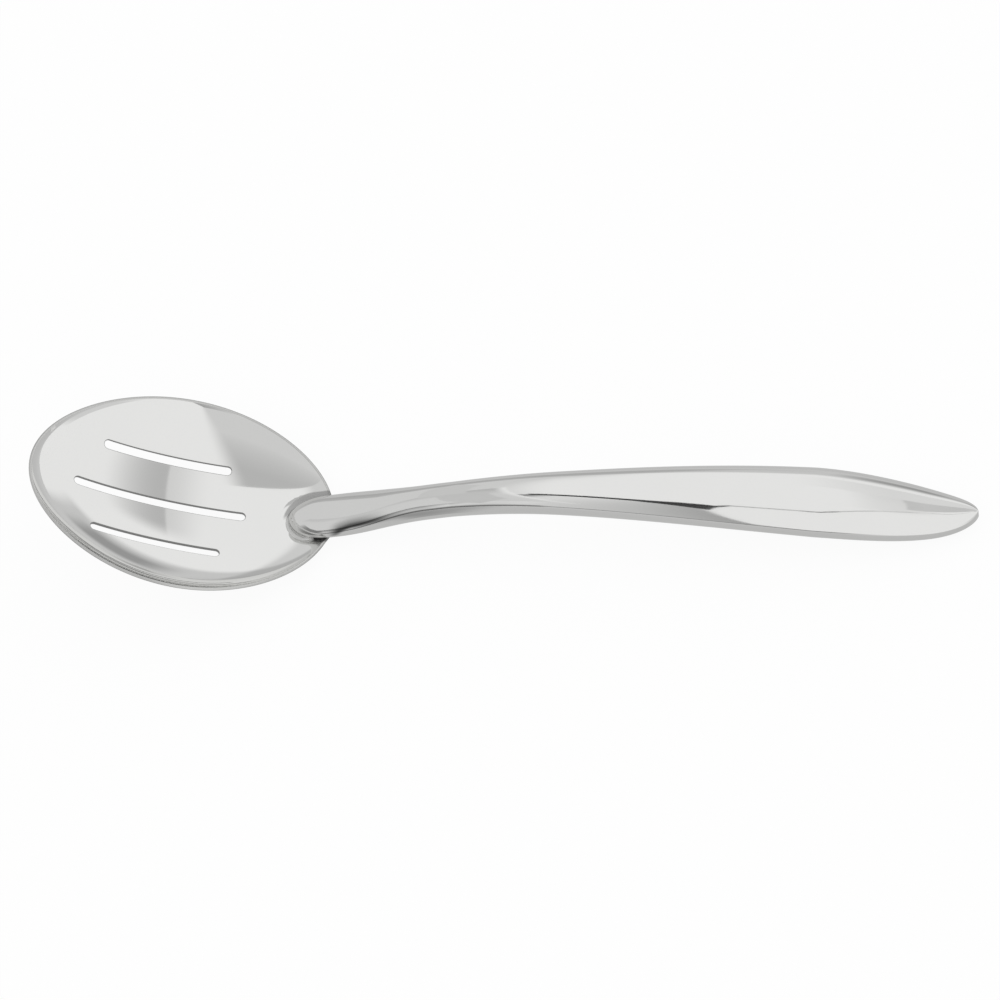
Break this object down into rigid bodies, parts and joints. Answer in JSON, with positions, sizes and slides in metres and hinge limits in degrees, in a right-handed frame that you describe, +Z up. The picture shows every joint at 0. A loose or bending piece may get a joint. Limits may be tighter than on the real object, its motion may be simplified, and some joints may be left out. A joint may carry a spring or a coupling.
{
  "type": "slotted serving spoon",
  "caption": "Polished steel serving spoon with long drain slots in a shallow egg-shaped bowl and an arched hollow handle that widens to a leaf-shaped palm.",
  "frame": {"origin": "on the table, under the middle of the spoon's outline box, with the spoon resting on the underside of its bowl and of its handle's tail", "axes": "+X from the bowl's tip to the handle's end, +Y across the spoon, +Z up from the table"},
  "size_m": [0.3328, 0.078, 0.0462],
  "materials": {
    "bowl_steel": "mirror-polished stainless steel sheet",
    "handle_steel": "mirror-polished stainless steel sheet",
    "weld_steel": "ground and buffed stainless steel weld"
  },
  "bodies": {
    "root": {"bowl": "bowl_steel", "handle_upper_shell": "handle_steel", "handle_lower_shell": "handle_steel", "handle_seam_weld": "weld_steel", "neck_weld": "weld_steel"}
  },
  "joints": []
}
